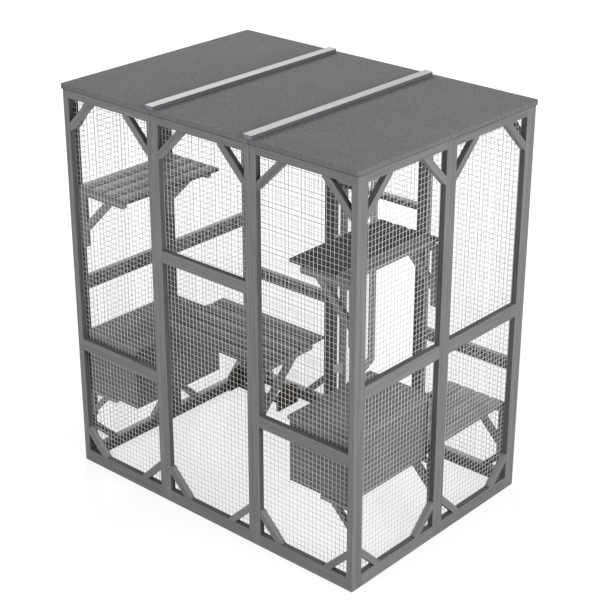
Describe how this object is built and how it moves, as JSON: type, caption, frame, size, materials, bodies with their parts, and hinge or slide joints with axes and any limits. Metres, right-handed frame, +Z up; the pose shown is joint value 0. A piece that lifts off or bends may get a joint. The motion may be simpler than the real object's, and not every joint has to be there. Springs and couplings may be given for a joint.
{
  "type": "outdoor cat enclosure",
  "caption": "Walk-in outdoor cat enclosure: grey timber wall frames with wire net, a flat felted roof, slatted shelves, two box houses, a low stand and a hinged door in the back wall.",
  "frame": {"origin": "on the ground under the middle of the part's box, with the door standing open as in the picture", "axes": "+X along the long side, -Y towards the long front wall that has no door, +Z up"},
  "size_m": [1.816, 1.7834, 2.0431],
  "materials": {
    "timber": "grey stained softwood",
    "wire": "galvanised welded wire",
    "roof_felt": "board covered with fine mineral roofing felt",
    "batten": "pale painted wood",
    "lid_felt": "board covered with grey green felt",
    "steel": "zinc plated",
    "brown_board": "dark brown board",
    "black_metal": "black satin"
  },
  "bodies": {
    "enclosure": {"back_left_panel_frame": "timber", "back_left_panel_net": "wire", "back_right_panel_frame": "timber", "back_right_panel_net": "wire", "bolt_keeper": "steel", "door_surround_frame": "timber", "door_surround_net": "wire", "front_left_panel_frame": "timber", "front_left_panel_net": "wire", "front_middle_panel_frame": "timber", "front_middle_panel_net": "wire", "front_right_panel_frame": "timber", "front_right_panel_net": "wire", "front_shelf_bracket_far": "timber", "front_shelf_bracket_near": "timber", "front_shelf_deck": "timber", "left_back_panel_frame": "timber", "left_back_panel_net": "wire", "left_front_panel_frame": "timber", "left_front_panel_net": "wire", "left_house_box": "timber", "left_house_bracket_far": "timber", "left_house_bracket_near": "timber", "left_house_lid": "lid_felt", "lower_hinge_jamb_plate": "steel", "lower_right_shelf_bracket_far": "timber", "lower_right_shelf_bracket_near": "timber", "lower_right_shelf_deck": "timber", "right_back_panel_frame": "timber", "right_back_panel_net": "wire", "right_front_panel_frame": "timber", "right_front_panel_net": "wire", "right_house_box": "timber", "right_house_bracket_far": "timber", "right_house_bracket_near": "timber", "right_house_lid": "lid_felt", "roof_batten_left": "batten", "roof_batten_right": "batten", "roof_panel_left": "roof_felt", "roof_panel_middle": "roof_felt", "roof_panel_right": "roof_felt", "stand_end_left": "brown_board", "stand_end_right": "brown_board", "stand_frame": "black_metal", "upper_hinge_jamb_plate": "steel", "upper_left_shelf_bracket_far": "timber", "upper_left_shelf_bracket_near": "timber", "upper_left_shelf_deck": "timber", "upper_right_shelf_bracket_far": "timber", "upper_right_shelf_bracket_near": "timber", "upper_right_shelf_deck": "timber"},
    "door": {"door_frame": "timber", "door_net": "wire", "lower_hinge_door_plate": "steel", "upper_hinge_door_plate": "steel", "bolt_guide": "steel"},
    "bolt": {"bolt": "steel"}
  },
  "joints": [
    {"name": "door_hinge", "type": "hinge", "parent": "enclosure", "child": "door", "pos_m": [-0.26285, 0.38806, 0], "axis": [0, 0, 1], "range_deg": [-110, 0]},
    {"name": "bolt_slide", "type": "slide", "parent": "door", "child": "bolt", "axis": [-0.342, 0.9397, 0], "range_m": [0, 0.022]}
  ]
}
